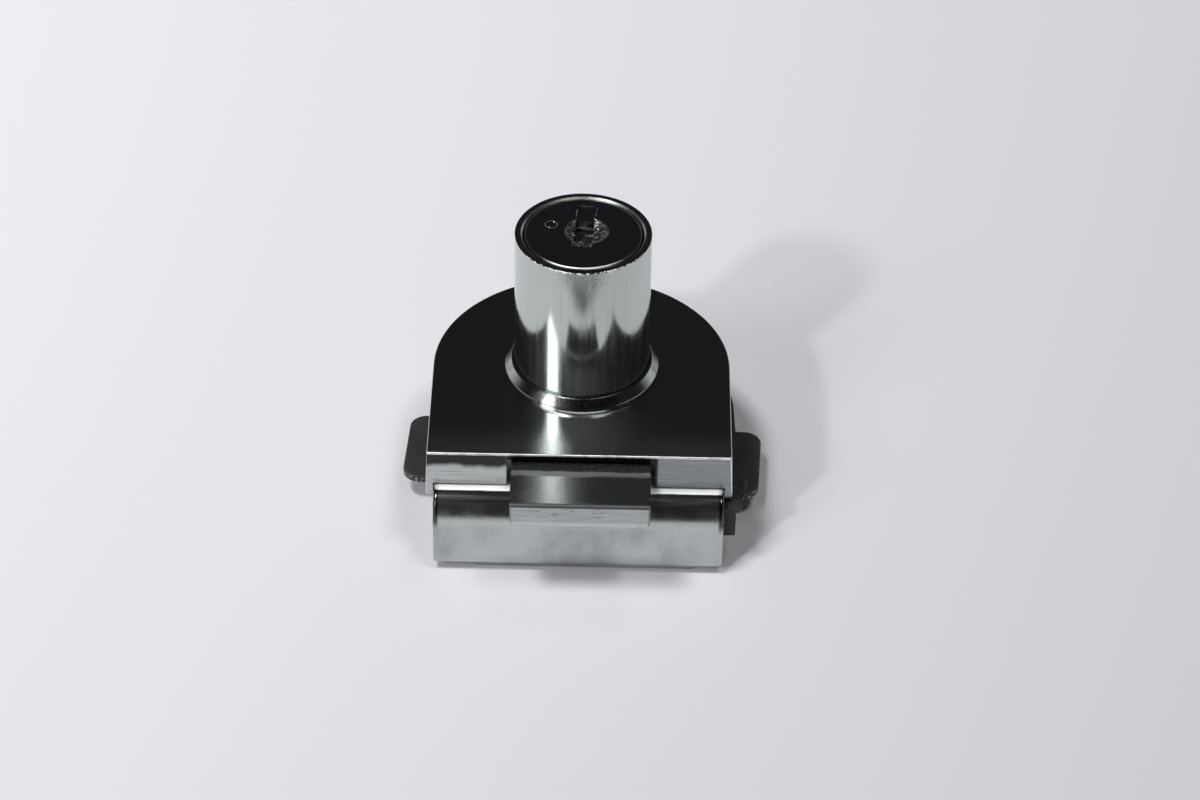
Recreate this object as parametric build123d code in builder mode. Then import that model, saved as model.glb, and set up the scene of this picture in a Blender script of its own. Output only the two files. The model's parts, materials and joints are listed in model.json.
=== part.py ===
from build123d import *
from math import acos, cos, radians, sin, sqrt
import os

os.makedirs("parts", exist_ok=True)

# The origin is on the barrel's axis at the lock's underside. +Z points out of the barrel, and the bolt is
# thrown towards -Y. Sizes are millimetres, and each "depth" is measured down from the housing's top face or
# from the face that it is cut into.

# Gaps between pieces
running_gap = 0.3
face_gap = 0.1
fit_gap = 0.05

# Housing: a D-shaped cover, straight at the front and half round at the back, whose walls lean out downwards
housing_half_width = 24.3
housing_draft = 0.35
housing_front = 23.4
housing_plate = 1.3
housing_wall = 0.95
skirt_depth = 9.2
front_wall_gap = 0.25
housing_edge_round = 0.25
housing_corner_round = 0.4
skirt_foot_round = 1.2
boss_radius = 2.4
front_boss_inset = 5.75
front_boss_setback = 7.45
rear_boss_inset = 3.65
rear_boss_angle = 35.7
rib_thickness = 1.6
rib_setback = 2.45
rib_back = 12.0

# Bolt: a flat slab in the housing's notch
bolt_width = 22.2
bolt_thickness = 4.55
bolt_offset = 0.3
bolt_top_gap = 0.4
bolt_floor_gap = 0.2
bolt_throw = 10.5
bolt_travel = 8.0
bolt_land = 3.5
bolt_lower_round = 1.1
bolt_end_round = 0.45
notch_side_gap = 0.75

# Barrel: a polished sleeve pressed on the cylinder's core, with a bevelled collar at its foot
barrel_radius = 11.0
barrel_height = 26.7
sleeve_wall = 1.3
sleeve_rim_bevel = 0.3
sleeve_rim_round = 0.15
collar_width = 1.6
collar_height = 2.0
collar_rim = 0.55
collar_rim_round = 0.3
collar_top_width = 0.5
collar_top_round = 0.2

# Plug: its wide face, the cone recess, the guide groove, the keyway and the round index mark
plug_radius = 5.45
plug_face_gap = 0.3
plug_face_thickness = 1.8
plug_face_round = 0.25
plug_face_sink = 0.1
key_turn = -4.0
recess_radius = 3.5
recess_floor_radius = 2.3
recess_depth = 0.8
recess_x = 0.45
recess_y = 0.7
groove_width = 2.9
groove_near = 3.4
groove_far = 7.4
keyway_width = 3.0
keyway_near = 1.1
keyway_far = 4.1
keyway_end = 2.0
mark_x = -5.2
mark_y = 2.3
mark_radius = 0.95
mark_line = 0.25
mark_depth = 0.12

# Key shutter: a sprung flap across the keyway
shutter_sink = 1.45
shutter_thickness = 0.5
shutter_side_gap = 0.1
shutter_knuckle_radius = 0.75
shutter_knuckle_length = 1.5
shutter_pin_radius = 0.4
shutter_pin_length = 4.6
shutter_spring_wire = 0.12
shutter_spring_room = 0.08
shutter_spring_turns = 3

# Tumblers: five pins in a row along the keyway, with the key in, so that they part at the plug's surface
pin_count = 5
pin_pitch = 2.6
pin_radius = 0.9
first_pin_depth = 9.4
key_pin_reach = 0.5
key_pin_bevel = 0.4
driver_length = 1.9
spring_wire = 0.14
spring_turns = 3

# Cam drive: a quarter turn of the plug moves the bolt through its travel
quarter_turn = 90.0
cam_land = 0.55
cam_thickness = 2.2
drive_pin_radius = 1.8
drive_pin_bevel = 0.3
washer_thickness = 0.4
tail_width = 4.8
tail_land = 0.15
cam_screw_radius = 1.25
cam_screw_head_radius = 2.4
cam_screw_length = 5.2
foot_flare = 0.7
foot_flat_cut = 0.65

# Clamp: a C-shaped body that the glass edge enters from the back
clamp_overhang = 4.5
clamp_front_wall = 3.0
clamp_top_round = 5.3
clamp_foot_round = 0.6
clamp_end_round = 0.5
clamp_bottom_plate = 3.0
clamp_back = 8.5
clamp_flange_start = 10.0
rest_pad_height = 1.4
rest_pad_x = 1.25
rest_pad_side_inset = 4.5
rest_pad_front_inset = 1.3
rest_pad_back_inset = 2.5
rest_pad_corner = 2.0

# Rubber: a liner along the glass's face and edge, wider at its right front corner, and a pad on the pressure
# plate
liner_thickness = 0.7
liner_shift = 0.95
liner_flare = 0.95
liner_web = 0.95
liner_web_height = 5.6
liner_web_gap = 1.4
liner_corner = 0.8
pressure_pad_end_inset = 1.25
pressure_pad_side_inset = 0.85
pressure_pad_thickness = 0.6
pressure_pad_corner = 2.0

# Pressure plate: its rounded ends stand out at both sides as ears
ear_reach = 5.0
plate_width = 16.1
plate_thickness = 1.2
plate_corner = 2.75
plate_edge_round = 0.25
plate_turn = -3.0
plate_x = 0.45
plate_y = -3.8
channel_depth = 0.7
channel_room = 2.9

# Clamp screws, with a socket below and a grooved neck above, and the clips in those grooves
clamp_screw_inset = 9.25
clamp_screw_radius = 2.5
clamp_screw_sink = 0.3
clamp_screw_bevel = 0.3
neck_radius = 1.5
neck_groove_radius = 1.15
neck_cap = 0.15
socket_width = 2.5
socket_depth = 1.8
clip_radius = 3.0
clip_thickness = 0.3
clip_mouth = 2.2
clip_room = 0.3

# Housing screws
housing_screw_radius = 1.25
housing_screw_head_radius = 2.3
housing_screw_tip_gap = 0.6
driver_recess_width = 1.5
driver_recess_depth = 0.7

# Heights worked out from the sizes above
foot_level = rest_pad_height
glass_floor = foot_level + clamp_bottom_plate
channel_floor = glass_floor - channel_depth
flange_underside = glass_floor + liner_web_gap + liner_web_height
top = flange_underside + skirt_depth
plate_underside = top - housing_plate
bolt_top = plate_underside - bolt_top_gap
bolt_bottom = bolt_top - bolt_thickness
flange_top = bolt_bottom - bolt_floor_gap
front_wall_foot = flange_top + front_wall_gap
face_level = top + barrel_height - plug_face_sink
plug_shoulder = face_level - plug_face_thickness
core_top = plug_shoulder - face_gap
cam_bottom = bolt_top + running_gap
cam_top = cam_bottom + cam_thickness
cam_screw_head_height = cam_screw_head_radius - cam_screw_radius
tail_bottom = cam_bottom + cam_screw_head_height + tail_land
cam_room_top = cam_top + washer_thickness + 2 * fit_gap
plate_floor = channel_floor + fit_gap
plate_top = plate_floor + plate_thickness
neck_groove_top = plate_top + clip_thickness + fit_gap
housing_screw_tip = plate_underside - housing_screw_tip_gap
recess_level = face_level - recess_depth
shutter_top = recess_level - shutter_sink
shutter_axis_z = shutter_top - shutter_knuckle_radius
pin_heights = [face_level - first_pin_depth - pin_pitch * i for i in range(pin_count)]
keyway_bottom = pin_heights[-1] - keyway_end

# Radii and places worked out from the sizes above
sleeve_bore = barrel_radius - sleeve_wall
core_radius = sleeve_bore - fit_gap
core_bore = plug_radius + fit_gap
foot_flat = core_radius - foot_flat_cut
collar_radius = barrel_radius + collar_width
plug_face_radius = sleeve_bore - plug_face_gap
chamber_radius = pin_radius + fit_gap
key_pin_start = keyway_width / 2 - key_pin_reach
key_pin_end = sqrt(plug_radius**2 - pin_radius**2) - fit_gap
driver_start = core_bore + fit_gap
spring_start = driver_start + driver_length + fit_gap
spring_length = sleeve_bore - spring_start - 2 * fit_gap
shutter_axis_y = keyway_far - shutter_knuckle_radius - shutter_side_gap
shutter_half_width = keyway_width / 2 - shutter_side_gap
shutter_spring_radius = shutter_pin_radius + shutter_spring_wire + shutter_spring_room
bolt_front = housing_front + bolt_throw
wall_inner_half_width = housing_half_width - housing_wall
wall_inner_front = housing_front - housing_wall
rib_length = rib_back + wall_inner_front - rib_setback
clamp_half_width = wall_inner_half_width - face_gap
clamp_front = housing_front + clamp_overhang
clamp_inner = clamp_front - clamp_front_wall
clamp_screw_x = clamp_half_width - clamp_screw_inset
rest_pad_width = 2 * (clamp_half_width - rest_pad_side_inset)
rest_pad_front = clamp_front - rest_pad_front_inset
rest_pad_back = clamp_back - rest_pad_back_inset
plate_length = 2 * (housing_half_width + ear_reach)
channel_width = plate_width + channel_room
pressure_pad_length = 2 * (clamp_half_width - pressure_pad_end_inset)
pressure_pad_width = plate_width - 2 * pressure_pad_side_inset
access_radius = housing_screw_head_radius + running_gap

# The drive pin turns from -45 to +45 degrees about +X. The bolt moves in step with the angle, so its slot is
# wider than the pin by the most that a circle strays from a steady lead.
crank_radius = bolt_travel / 2 / sin(radians(quarter_turn / 2))
crank_x = crank_radius * cos(radians(quarter_turn / 2))
crank_y = -bolt_travel / 2
lead = bolt_travel / radians(quarter_turn)
widest_turn = acos(lead / crank_radius)
lead_error = crank_radius * sin(widest_turn) - lead * widest_turn
bolt_slot_radius = drive_pin_radius + lead_error + fit_gap
bolt_rear = crank_y + bolt_slot_radius + bolt_land
cam_radius = crank_radius + drive_pin_radius + cam_land
cam_room_radius = cam_radius + face_gap

key_plane = Plane.XY.rotated((0, 0, key_turn))
front_boss_x = wall_inner_half_width - front_boss_inset
front_boss_y = wall_inner_front - front_boss_setback
rear_boss_ring = wall_inner_half_width - rear_boss_inset
rear_boss_x = rear_boss_ring * cos(radians(rear_boss_angle))
rear_boss_y = rear_boss_ring * sin(radians(rear_boss_angle))
boss_places = [
    (front_boss_x, -front_boss_y),
    (-front_boss_x, -front_boss_y),
    (rear_boss_x, rear_boss_y),
    (-rear_boss_x, rear_boss_y),
]
clamp_screw_places = [(-clamp_screw_x, plate_y), (clamp_screw_x, plate_y)]
plate_place = Location((plate_x, plate_y), plate_turn)


def d_outline(half_width, front, shift=0.0, flare=0.0):
    """A D with a half circle at the back. A flare moves its right front corner outwards."""
    with BuildSketch() as outline:
        with BuildLine():
            Polyline(
                (shift - half_width, 0),
                (shift - half_width, -front),
                (shift + half_width + flare, -front),
                (shift + half_width, 0),
            )
            ThreePointArc((shift + half_width, 0), (shift, half_width), (shift - half_width, 0))
        make_face()
    return outline.sketch


def key_side_plane(distance):
    """A plane at a distance from the axis, across the row of pins: x is along the key slot and y upwards."""
    return Plane(origin=key_plane.x_dir * distance, x_dir=key_plane.y_dir, z_dir=key_plane.x_dir)


def coil(start, direction, radius, wire, height, turns):
    """A coil spring that climbs from a point along a direction."""
    with BuildPart() as spring:
        with BuildLine():
            path = Helix(height / turns, height, radius, center=start, direction=direction)
        with BuildSketch(Plane(origin=path @ 0, z_dir=path % 0)):
            RegularPolygon(radius=wire, side_count=4)
        sweep(path=path, is_frenet=True)
    return spring.part


def countersunk_screw(place, bottom, tip, radius, head_radius, head_height):
    """A screw that points up, with a square driver recess in its countersunk head."""
    with BuildPart() as screw:
        with BuildSketch(Plane.XZ) as half_section:
            with BuildLine():
                Polyline(
                    (0, bottom),
                    (head_radius, bottom),
                    (radius, bottom + head_height),
                    (radius, tip),
                    (0, tip),
                    close=True,
                )
            make_face()
        revolve(axis=Axis.Z)
        with BuildSketch(Plane.XY.offset(bottom)):
            Rectangle(driver_recess_width, driver_recess_width)
        extrude(amount=driver_recess_depth, mode=Mode.SUBTRACT)
    return Location((place[0], place[1], 0)) * screw.part


def cone_cut(radius, bottom, height):
    """The cone that a countersink takes out, widest at the bottom and closing by its own height."""
    with BuildPart() as cone:
        with BuildSketch(Plane.XY.offset(bottom)):
            Circle(radius)
        with BuildSketch(Plane.XY.offset(bottom + height)):
            Circle(radius - height)
        loft()
    return cone.part


# Housing
with BuildPart() as housing:
    with BuildSketch(Plane.XY.offset(flange_underside)):
        add(d_outline(housing_half_width + housing_draft, housing_front))
    with BuildSketch(Plane.XY.offset(top)):
        add(d_outline(housing_half_width, housing_front))
    loft(ruled=True)
    with BuildSketch(Plane.XY.offset(flange_underside)):
        add(d_outline(wall_inner_half_width, wall_inner_front))
    extrude(amount=skirt_depth - housing_plate, mode=Mode.SUBTRACT)
    with BuildSketch(Plane.XZ.offset(wall_inner_front)):
        with Locations((0, flange_underside)):
            Rectangle(
                2 * wall_inner_half_width,
                front_wall_foot - flange_underside,
                align=(Align.CENTER, Align.MIN),
            )
        with Locations((bolt_offset, flange_underside)):
            Rectangle(
                bolt_width + 2 * notch_side_gap,
                skirt_depth - housing_plate,
                align=(Align.CENTER, Align.MIN),
            )
    extrude(amount=housing_wall, mode=Mode.SUBTRACT)
    fillet(
        housing.edges().filter_by(Axis.X).group_by(Axis.Z)[0].group_by(Axis.Y)[0],
        radius=skirt_foot_round,
    )
    front_edges = housing.faces().sort_by(Axis.Y)[0].edges().sort_by(Axis.X)
    fillet([front_edges[0], front_edges[-1]], radius=housing_corner_round)
    fillet(housing.faces().sort_by(Axis.Z)[-1].edges(), radius=housing_edge_round)
    with BuildSketch(Plane.XY.offset(flange_top)):
        with Locations(*boss_places):
            Circle(boss_radius)
        with Locations((bolt_offset - bolt_width / 2 - running_gap / 2, rib_back)):
            Rectangle(rib_thickness, rib_length, align=(Align.MAX, Align.MAX))
        with Locations((bolt_offset + bolt_width / 2 + running_gap / 2, rib_back)):
            Rectangle(rib_thickness, rib_length, align=(Align.MIN, Align.MAX))
    extrude(amount=plate_underside - flange_top)
    with BuildSketch(Plane.XY.offset(flange_top)):
        with Locations(*boss_places):
            Circle(housing_screw_radius + fit_gap)
    extrude(amount=housing_screw_tip + fit_gap - flange_top, mode=Mode.SUBTRACT)
    with BuildSketch(Plane.XY.offset(plate_underside)):
        Circle(core_radius + fit_gap)
        Rectangle(2 * (foot_flat + fit_gap), 2 * barrel_radius, mode=Mode.INTERSECT)
    extrude(amount=housing_plate, mode=Mode.SUBTRACT)
    add(cone_cut(core_radius + foot_flare + fit_gap, plate_underside, foot_flare), mode=Mode.SUBTRACT)
housing.part.label = "housing"
export_step(housing.part, "parts/housing.step")

# Bevelled collar round the barrel's foot
with BuildPart() as barrel_collar:
    with BuildSketch(Plane.XZ):
        with BuildLine():
            Polyline(
                (barrel_radius + fit_gap, top),
                (collar_radius, top),
                (collar_radius, top + collar_rim),
                (barrel_radius + collar_top_width, top + collar_height),
                (barrel_radius + fit_gap, top + collar_height),
                close=True,
            )
        make_face()
    revolve(axis=Axis.Z)
    outer_edges = barrel_collar.edges().filter_by(GeomType.CIRCLE).sort_by(SortBy.RADIUS)
    fillet(outer_edges[-2:].sort_by(Axis.Z)[-1], radius=collar_rim_round)
    rim_edges = barrel_collar.edges().filter_by(GeomType.CIRCLE).group_by(Axis.Z)[-1]
    fillet(rim_edges.sort_by(SortBy.RADIUS)[-1], radius=collar_top_round)
barrel_collar.part.label = "barrel_collar"
export_step(barrel_collar.part, "parts/barrel_collar.step")

# Polished sleeve, the outside of the barrel
with BuildPart() as barrel_sleeve:
    with BuildSketch(Plane.XY.offset(top)):
        Circle(barrel_radius)
        Circle(sleeve_bore, mode=Mode.SUBTRACT)
    extrude(amount=barrel_height)
    rim_edges = barrel_sleeve.edges().filter_by(GeomType.CIRCLE).group_by(Axis.Z)[-1].sort_by(SortBy.RADIUS)
    chamfer(rim_edges[0], length=sleeve_rim_bevel)
    rim_edges = barrel_sleeve.edges().filter_by(GeomType.CIRCLE).group_by(Axis.Z)[-1].sort_by(SortBy.RADIUS)
    fillet(rim_edges[-1], radius=sleeve_rim_round)
barrel_sleeve.part.label = "barrel_sleeve"
export_step(barrel_sleeve.part, "parts/barrel_sleeve.step")

# Cylinder core: bored for the plug and chambered for the pins, with a flatted foot flared under the plate
with BuildPart() as cylinder_core:
    with BuildSketch(Plane.XY.offset(plate_underside)):
        Circle(core_radius)
    extrude(amount=core_top - plate_underside)
    add(cone_cut(core_radius + foot_flare, plate_underside, foot_flare))
    with BuildSketch(Plane.XY.offset(plate_underside)):
        Circle(2 * barrel_radius)
        Rectangle(2 * foot_flat, 2 * barrel_radius, mode=Mode.SUBTRACT)
    extrude(amount=housing_plate, mode=Mode.SUBTRACT)
    with BuildSketch(Plane.XY.offset(plate_underside)):
        Circle(cam_room_radius)
    extrude(amount=cam_room_top - plate_underside, mode=Mode.SUBTRACT)
    with BuildSketch(Plane.XY.offset(cam_room_top)):
        Circle(core_bore)
    extrude(amount=core_top - cam_room_top, mode=Mode.SUBTRACT)
    with BuildSketch(key_side_plane(plug_radius - pin_radius)):
        with Locations(*[(0, height) for height in pin_heights]):
            Circle(chamber_radius)
    extrude(amount=barrel_radius - plug_radius + pin_radius, mode=Mode.SUBTRACT)
cylinder_core.part.label = "cylinder_core"
export_step(cylinder_core.part, "parts/cylinder_core.step")

# Plug
with BuildPart() as plug:
    with BuildSketch(Plane.XY.offset(cam_top)):
        Circle(plug_radius)
    extrude(amount=face_level - cam_top)
    with BuildSketch(Plane.XY.offset(plug_shoulder)):
        Circle(plug_face_radius)
    extrude(amount=plug_face_thickness)
    fillet(plug.faces().sort_by(Axis.Z)[-1].edges(), radius=plug_face_round)
    with BuildSketch(Plane.XY.offset(tail_bottom)):
        Rectangle(tail_width, tail_width, rotation=quarter_turn / 2)
    extrude(amount=cam_top - tail_bottom)
    with BuildSketch(key_plane.offset(recess_level)):
        with Locations((recess_x, recess_y)):
            Circle(recess_floor_radius)
    with BuildSketch(key_plane.offset(face_level)):
        with Locations((recess_x, recess_y)):
            Circle(recess_radius)
    loft(mode=Mode.SUBTRACT)
    with BuildSketch(key_plane.offset(recess_level)):
        with Locations((0, -groove_near)):
            Rectangle(groove_width, groove_near + groove_far, align=(Align.CENTER, Align.MIN))
    extrude(amount=recess_depth, mode=Mode.SUBTRACT)
    with BuildSketch(key_plane.offset(keyway_bottom)):
        with Locations((0, -keyway_near)):
            Rectangle(keyway_width, keyway_near + keyway_far, align=(Align.CENTER, Align.MIN))
    extrude(amount=face_level - keyway_bottom, mode=Mode.SUBTRACT)
    with BuildSketch(Plane.XY.offset(face_level)):
        with Locations((mark_x, mark_y)):
            Circle(mark_radius)
            Circle(mark_radius - mark_line, mode=Mode.SUBTRACT)
    extrude(amount=-mark_depth, mode=Mode.SUBTRACT)
    with BuildSketch(key_side_plane(key_pin_start)):
        with Locations(*[(0, height) for height in pin_heights]):
            Circle(chamber_radius)
    extrude(amount=plug_radius, mode=Mode.SUBTRACT)
    with BuildSketch(key_side_plane(-shutter_pin_length / 2)):
        with Locations((shutter_axis_y, shutter_axis_z)):
            Circle(shutter_pin_radius)
    extrude(amount=plug_radius + shutter_pin_length / 2, mode=Mode.SUBTRACT)
    with BuildSketch(Plane.XY.offset(tail_bottom)):
        Circle(cam_screw_radius)
    extrude(amount=cam_bottom + cam_screw_length - tail_bottom, mode=Mode.SUBTRACT)
plug.part.label = "plug"
export_step(plug.part, "parts/plug.step")

# Key shutter: a flap with a knuckle at the keyway's far end, notched for its spring
with BuildPart() as key_shutter:
    with BuildSketch(key_plane.offset(shutter_top - shutter_thickness)):
        with Locations((0, shutter_side_gap - keyway_near)):
            Rectangle(
                2 * shutter_half_width,
                keyway_near - shutter_side_gap + shutter_axis_y,
                align=(Align.CENTER, Align.MIN),
            )
    extrude(amount=shutter_thickness)
    with BuildSketch(key_plane.offset(shutter_top - shutter_thickness)):
        with Locations((shutter_knuckle_length - shutter_half_width, shutter_axis_y)):
            Rectangle(keyway_width, 2 * (shutter_knuckle_radius + face_gap), align=(Align.MIN, Align.CENTER))
    extrude(amount=shutter_thickness, mode=Mode.SUBTRACT)
    with BuildSketch(key_side_plane(-shutter_half_width)):
        with Locations((shutter_axis_y, shutter_axis_z)):
            Circle(shutter_knuckle_radius)
    extrude(amount=shutter_knuckle_length)
    with BuildSketch(key_side_plane(-shutter_half_width)):
        with Locations((shutter_axis_y, shutter_axis_z)):
            Circle(shutter_pin_radius + fit_gap)
    extrude(amount=shutter_knuckle_length, mode=Mode.SUBTRACT)
key_shutter.part.label = "key_shutter"
export_step(key_shutter.part, "parts/key_shutter.step")

# Shutter pin
with BuildPart() as shutter_pin:
    with BuildSketch(key_side_plane(-shutter_pin_length / 2)):
        with Locations((shutter_axis_y, shutter_axis_z)):
            Circle(shutter_pin_radius)
    extrude(amount=shutter_pin_length)
shutter_pin.part.label = "shutter_pin"
export_step(shutter_pin.part, "parts/shutter_pin.step")

# Shutter spring, wound on the pin beside the knuckle
spring_side = shutter_knuckle_length - shutter_half_width + face_gap + shutter_spring_wire
shutter_spring = coil(
    key_plane.from_local_coords((spring_side, shutter_axis_y, shutter_axis_z)),
    key_plane.x_dir,
    shutter_spring_radius,
    shutter_spring_wire,
    shutter_half_width - spring_side - shutter_spring_wire,
    shutter_spring_turns,
)
shutter_spring.label = "shutter_spring"
export_step(shutter_spring, "parts/shutter_spring.step")

# Key pins, bevelled towards the key
with BuildPart() as key_pins:
    with BuildSketch(key_side_plane(key_pin_start)):
        with Locations(*[(0, height) for height in pin_heights]):
            Circle(pin_radius)
    extrude(amount=key_pin_end - key_pin_start)
    row_axis = Axis((0, 0, 0), key_plane.x_dir)
    chamfer(key_pins.edges().filter_by(GeomType.CIRCLE).group_by(row_axis)[0], length=key_pin_bevel)
key_pins.part.label = "key_pins"
export_step(key_pins.part, "parts/key_pins.step")

# Driver pins
with BuildPart() as driver_pins:
    with BuildSketch(key_side_plane(driver_start)):
        with Locations(*[(0, height) for height in pin_heights]):
            Circle(pin_radius)
    extrude(amount=driver_length)
driver_pins.part.label = "driver_pins"
export_step(driver_pins.part, "parts/driver_pins.step")

# Pin springs, between the driver pins and the sleeve
with BuildPart() as pin_springs:
    for height in pin_heights:
        add(
            coil(
                key_plane.from_local_coords((spring_start + spring_wire, 0, height)),
                key_plane.x_dir,
                pin_radius - spring_wire - fit_gap,
                spring_wire,
                spring_length - 2 * spring_wire,
                spring_turns,
            )
        )
pin_springs.part.label = "pin_springs"
export_step(pin_springs.part, "parts/pin_springs.step")

# Drive cam on the plug's square tail
with BuildPart() as drive_cam:
    with BuildSketch(Plane.XY.offset(cam_bottom)):
        Circle(cam_radius)
        with Locations((crank_x, crank_y)):
            Circle(drive_pin_radius, mode=Mode.SUBTRACT)
        Circle(cam_screw_radius, mode=Mode.SUBTRACT)
    extrude(amount=cam_thickness)
    with BuildSketch(Plane.XY.offset(tail_bottom)):
        Rectangle(tail_width + fit_gap, tail_width + fit_gap, rotation=quarter_turn / 2)
    extrude(amount=cam_top - tail_bottom, mode=Mode.SUBTRACT)
    add(cone_cut(cam_screw_head_radius, cam_bottom, cam_screw_head_height), mode=Mode.SUBTRACT)
drive_cam.part.label = "drive_cam"
export_step(drive_cam.part, "parts/drive_cam.step")

# Drive pin, pressed into the cam and through the bolt's slot
with BuildPart() as drive_pin:
    with BuildSketch(Plane.XY.offset(flange_top + running_gap)):
        with Locations((crank_x, crank_y)):
            Circle(drive_pin_radius)
    extrude(amount=cam_top - flange_top - running_gap)
    chamfer(drive_pin.edges().group_by(Axis.Z)[0], length=drive_pin_bevel)
drive_pin.part.label = "drive_pin"
export_step(drive_pin.part, "parts/drive_pin.step")

# Thrust washer between the cam and the core
with BuildPart() as cam_washer:
    with BuildSketch(Plane.XY.offset(cam_top + fit_gap)):
        Circle(cam_radius)
        Circle(core_bore, mode=Mode.SUBTRACT)
    extrude(amount=washer_thickness)
cam_washer.part.label = "cam_washer"
export_step(cam_washer.part, "parts/cam_washer.step")

# Screw that holds the cam on the plug
cam_screw = countersunk_screw(
    (0, 0),
    cam_bottom,
    cam_bottom + cam_screw_length,
    cam_screw_radius,
    cam_screw_head_radius,
    cam_screw_head_height,
)
cam_screw.label = "cam_screw"
export_step(cam_screw, "parts/cam_screw.step")

# Bolt
with BuildPart() as bolt:
    with BuildSketch(Plane.XZ.offset(bolt_front)):
        with Locations((bolt_offset, bolt_bottom)):
            Rectangle(bolt_width, bolt_thickness, align=(Align.CENTER, Align.MIN))
    extrude(amount=-(bolt_front + bolt_rear))
    fillet(bolt.edges().filter_by(Axis.Y).group_by(Axis.Z)[0], radius=bolt_lower_round)
    fillet(bolt.faces().sort_by(Axis.Y)[0].edges(), radius=bolt_end_round)
    with BuildSketch(Plane.XY.offset(bolt_bottom)):
        with Locations(((crank_x + crank_radius) / 2, crank_y)):
            SlotCenterToCenter(crank_radius - crank_x, 2 * bolt_slot_radius)
    extrude(amount=bolt_thickness, mode=Mode.SUBTRACT)
bolt.part.label = "bolt"
export_step(bolt.part, "parts/bolt.step")

# Clamp
with BuildPart() as clamp:
    with BuildSketch(Plane.YZ):
        with BuildLine():
            face_line = Line((-clamp_front, foot_level), (-clamp_front, flange_top - clamp_top_round))
            TangentArc(face_line @ 1, (clamp_top_round - clamp_front, flange_top), tangent=face_line % 1)
            Polyline(
                (clamp_top_round - clamp_front, flange_top),
                (-clamp_flange_start, flange_top),
                (-clamp_flange_start, flange_underside),
                (-clamp_inner, flange_underside),
                (-clamp_inner, glass_floor),
                (clamp_back, glass_floor),
                (clamp_back, foot_level),
                (-clamp_front, foot_level),
            )
        make_face()
    extrude(amount=clamp_half_width, both=True)
    end_edges = clamp.edges().filter_by_position(Axis.Y, -clamp_front, clamp_top_round - clamp_front)
    fillet(end_edges.group_by(Axis.X)[0] + end_edges.group_by(Axis.X)[-1], radius=clamp_end_round)
    fillet(clamp.edges().filter_by(Axis.X).group_by(Axis.Z)[0].sort_by(Axis.Y)[0], radius=clamp_foot_round)
    with BuildSketch(Plane.XY.offset(flange_underside)):
        add(d_outline(clamp_half_width, clamp_flange_start))
    extrude(amount=flange_top - flange_underside)
    with BuildSketch(Plane.XY):
        with Locations((rest_pad_x, (rest_pad_back - rest_pad_front) / 2)):
            RectangleRounded(rest_pad_width, rest_pad_front + rest_pad_back, rest_pad_corner)
    extrude(amount=foot_level)
    with BuildSketch(Plane.XY.offset(channel_floor)):
        with Locations((0, plate_y)):
            Rectangle(2 * clamp_half_width, channel_width)
    extrude(amount=channel_depth, mode=Mode.SUBTRACT)
    with BuildSketch(Plane.XY):
        with Locations(*clamp_screw_places):
            Circle(clamp_screw_radius + fit_gap)
        with Locations(*boss_places[:2]):
            Circle(access_radius)
    extrude(amount=glass_floor, mode=Mode.SUBTRACT)
    with BuildSketch(Plane.XY.offset(flange_underside)):
        with Locations(*boss_places):
            Circle(housing_screw_radius + fit_gap)
    extrude(amount=flange_top - flange_underside, mode=Mode.SUBTRACT)
    countersink = cone_cut(
        housing_screw_head_radius + fit_gap,
        flange_underside,
        housing_screw_head_radius - housing_screw_radius,
    )
    for x, y in boss_places:
        add(Location((x, y, 0)) * countersink, mode=Mode.SUBTRACT)
clamp.part.label = "clamp"
export_step(clamp.part, "parts/clamp.step")

# Four countersunk screws that hold the housing on the clamp
housing_screws = Compound(
    label="housing_screws",
    children=[
        countersunk_screw(
            place,
            flange_underside,
            housing_screw_tip,
            housing_screw_radius,
            housing_screw_head_radius,
            housing_screw_head_radius - housing_screw_radius,
        )
        for place in boss_places
    ],
)
export_step(housing_screws, "parts/housing_screws.step")

# Rubber liner on the glass's face and edge, set a little to the right
with BuildPart() as glass_liner:
    with BuildSketch(Plane.XY.offset(flange_underside - liner_thickness)):
        add(d_outline(housing_half_width, clamp_inner - fit_gap, liner_shift, liner_flare))
    extrude(amount=liner_thickness)
    with BuildSketch(Plane.XY.offset(flange_underside - liner_web_height)):
        with Locations((liner_shift, fit_gap - clamp_inner)):
            Rectangle(2 * housing_half_width, liner_web, align=(Align.CENTER, Align.MIN))
    extrude(amount=liner_web_height)
    fillet(
        glass_liner.edges().filter_by(Axis.Z).group_by(Axis.X)[-1].sort_by(Axis.Y)[0],
        radius=liner_corner,
    )
glass_liner.part.label = "glass_liner"
export_step(glass_liner.part, "parts/glass_liner.step")

# Pressure plate with its two ears
with BuildPart() as pressure_plate:
    with BuildSketch(Plane.XY.offset(plate_floor)):
        with Locations(plate_place):
            RectangleRounded(plate_length, plate_width, plate_corner)
    extrude(amount=plate_thickness)
    fillet(pressure_plate.faces().sort_by(Axis.Z)[-1].edges(), radius=plate_edge_round)
    with BuildSketch(Plane.XY.offset(plate_floor)):
        with Locations(*clamp_screw_places):
            Circle(neck_radius + fit_gap)
    extrude(amount=plate_thickness, mode=Mode.SUBTRACT)
pressure_plate.part.label = "pressure_plate"
export_step(pressure_plate.part, "parts/pressure_plate.step")

# Rubber pad on the pressure plate, with room round the clips
with BuildPart() as pressure_pad:
    with BuildSketch(Plane.XY.offset(plate_top)):
        with Locations(plate_place):
            RectangleRounded(pressure_pad_length, pressure_pad_width, pressure_pad_corner)
        with Locations(*clamp_screw_places):
            Circle(clip_radius + clip_room, mode=Mode.SUBTRACT)
    extrude(amount=pressure_pad_thickness)
pressure_pad.part.label = "pressure_pad"
export_step(pressure_pad.part, "parts/pressure_pad.step")

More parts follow.
